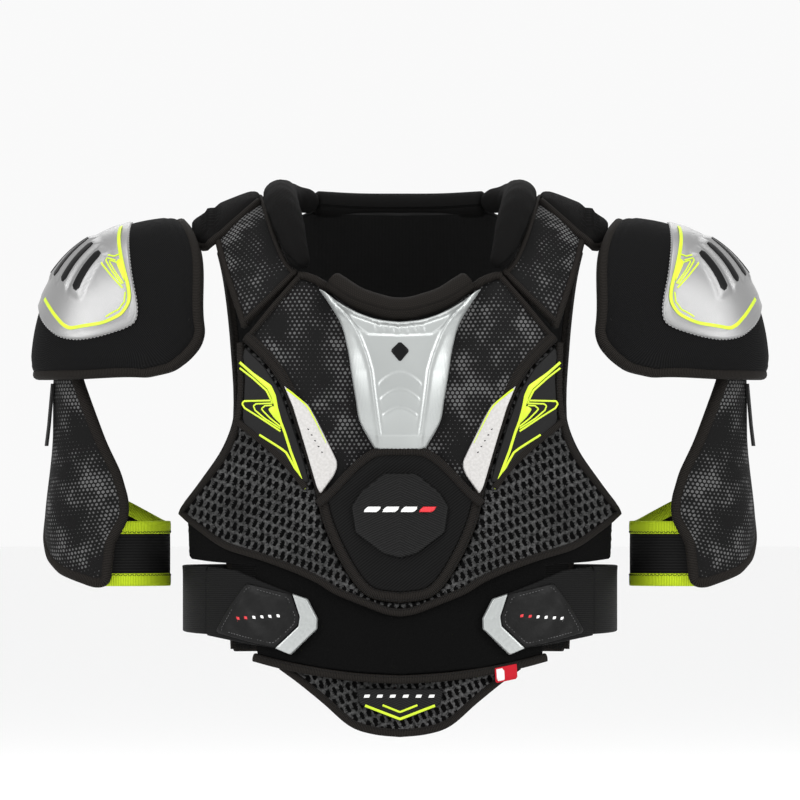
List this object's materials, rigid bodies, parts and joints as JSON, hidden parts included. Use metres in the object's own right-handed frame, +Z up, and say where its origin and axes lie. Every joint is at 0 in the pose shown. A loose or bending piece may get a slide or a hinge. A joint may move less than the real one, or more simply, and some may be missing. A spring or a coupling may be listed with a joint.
{
  "type": "hockey shoulder pads",
  "caption": "Ice hockey shoulder pads: chest and back panels on shoulder yokes, domed shoulder caps, bicep guards on arm bands, sternum plate, mesh wings, waist straps and a sliding belly pad.",
  "frame": {"origin": "middle of the neck opening, where the pads rest on the wearer", "axes": "+Z up, the front faces -Y, +X to the wearer's left; millimetre model, metres here"},
  "size_m": [0.566, 0.26, 0.4264],
  "materials": {
    "printed_fabric": "matte black with a grey dot print",
    "binding": "ribbed tape",
    "silver_plate": "satin silver-grey, moulded",
    "silver_wedge": "satin silver with a fine texture",
    "twill": "fine diagonal twill",
    "badge_rubber": "rippled, matte",
    "spacer_mesh": "open three-dimensional mesh",
    "grey_mesh": "printed mesh",
    "loop_fabric": "brushed loop",
    "elastic": "ribbed elastic",
    "tab_gloss": "glossy, with sewn edges",
    "knit": "fine ribbed knit",
    "lining": "mesh lining over foam",
    "hard_insert": "moulded",
    "back_fabric": "matte woven",
    "band_elastic": "ribbed elastic with bright edges",
    "webbing": "flat webbing",
    "hanger_plastic": "moulded",
    "tag_fabric": "woven, satin"
  },
  "bodies": {
    "back": {"back_panel": "back_fabric", "lower_back_panel": "elastic", "spine_plate": "hard_insert", "scapula_pad_left": "back_fabric", "scapula_pad_right": "back_fabric", "collar_back": "knit", "collar_left": "knit", "collar_right": "knit", "yoke_left": "printed_fabric", "yoke_right": "printed_fabric", "clavicle_pad_left": "knit", "clavicle_pad_right": "knit", "belt_strap_left": "elastic", "belt_strap_right": "elastic"},
    "chest": {"chest_panel": "printed_fabric", "chest_liner": "lining", "sternum_plate": "silver_plate", "chest_shield": "twill", "chest_badge": "badge_rubber", "accent_wedge_left": "silver_wedge", "accent_wedge_right": "silver_wedge", "wing_left": "spacer_mesh", "wing_right": "spacer_mesh", "wing_graphic_left": "grey_mesh", "wing_graphic_right": "grey_mesh", "chest_binding": "binding", "wing_bindings": "binding", "belly_panel": "loop_fabric", "belly_binding": "binding", "size_tag": "tag_fabric", "collar_front": "knit"},
    "extension": {"extension_pad": "spacer_mesh", "extension_binding": "binding", "extension_badge": "badge_rubber"},
    "cap_left": {"cap_shell_left": "hard_insert", "cap_cover_left": "knit", "cap_liner_left": "lining", "cap_emblem_left": "silver_plate", "cap_binding_left": "binding", "cap_hanger_left": "hanger_plastic"},
    "cap_right": {"cap_shell_right": "hard_insert", "cap_cover_right": "knit", "cap_liner_right": "lining", "cap_emblem_right": "silver_plate", "cap_binding_right": "binding", "cap_hanger_right": "hanger_plastic"},
    "bicep_left": {"bicep_cover_left": "printed_fabric", "bicep_insert_left": "lining", "bicep_binding_left": "binding", "arm_band_left": "band_elastic", "hanger_strap_left": "webbing"},
    "bicep_right": {"bicep_cover_right": "printed_fabric", "bicep_insert_right": "lining", "bicep_binding_right": "binding", "arm_band_right": "band_elastic", "hanger_strap_right": "webbing"},
    "tab_left": {"strap_tab_left": "tab_gloss", "strap_end_left": "silver_plate"},
    "tab_right": {"strap_tab_right": "tab_gloss", "strap_end_right": "silver_plate"}
  },
  "joints": [
    {"name": "chest_open", "type": "hinge", "parent": "back", "child": "chest", "pos_m": [0, -0.085, 0.002], "axis": [-1, 0, 0], "range_deg": [0, 12]},
    {"name": "extension_slide", "type": "slide", "parent": "chest", "child": "extension", "axis": [0, 0, 1], "range_m": [-0.025, 0]},
    {"name": "cap_left_lift", "type": "hinge", "parent": "back", "child": "cap_left", "pos_m": [0.168, 0, 0.031], "axis": [0, -1, 0], "range_deg": [0, 30]},
    {"name": "bicep_left_swing", "type": "hinge", "parent": "cap_left", "child": "bicep_left", "pos_m": [0.25, -0.008, -0.06], "axis": [1, 0, 0], "range_deg": [-15, 15]},
    {"name": "tab_left_peel", "type": "hinge", "parent": "back", "child": "tab_left", "pos_m": [0.1505, -0.068, -0.26], "axis": [0, 0, 1], "range_deg": [0, 88]},
    {"name": "cap_right_lift", "type": "hinge", "parent": "back", "child": "cap_right", "pos_m": [-0.168, 0, 0.031], "axis": [0, 1, 0], "range_deg": [0, 30]},
    {"name": "bicep_right_swing", "type": "hinge", "parent": "cap_right", "child": "bicep_right", "pos_m": [-0.25, -0.008, -0.06], "axis": [1, 0, 0], "range_deg": [-15, 15]},
    {"name": "tab_right_peel", "type": "hinge", "parent": "back", "child": "tab_right", "pos_m": [-0.1505, -0.068, -0.26], "axis": [0, 0, -1], "range_deg": [0, 88]}
  ],
  "couplings": [
    {"joint": "tab_left_peel", "follows": "chest_open", "ratio": 7.3},
    {"joint": "tab_right_peel", "follows": "chest_open", "ratio": 7.3}
  ]
}
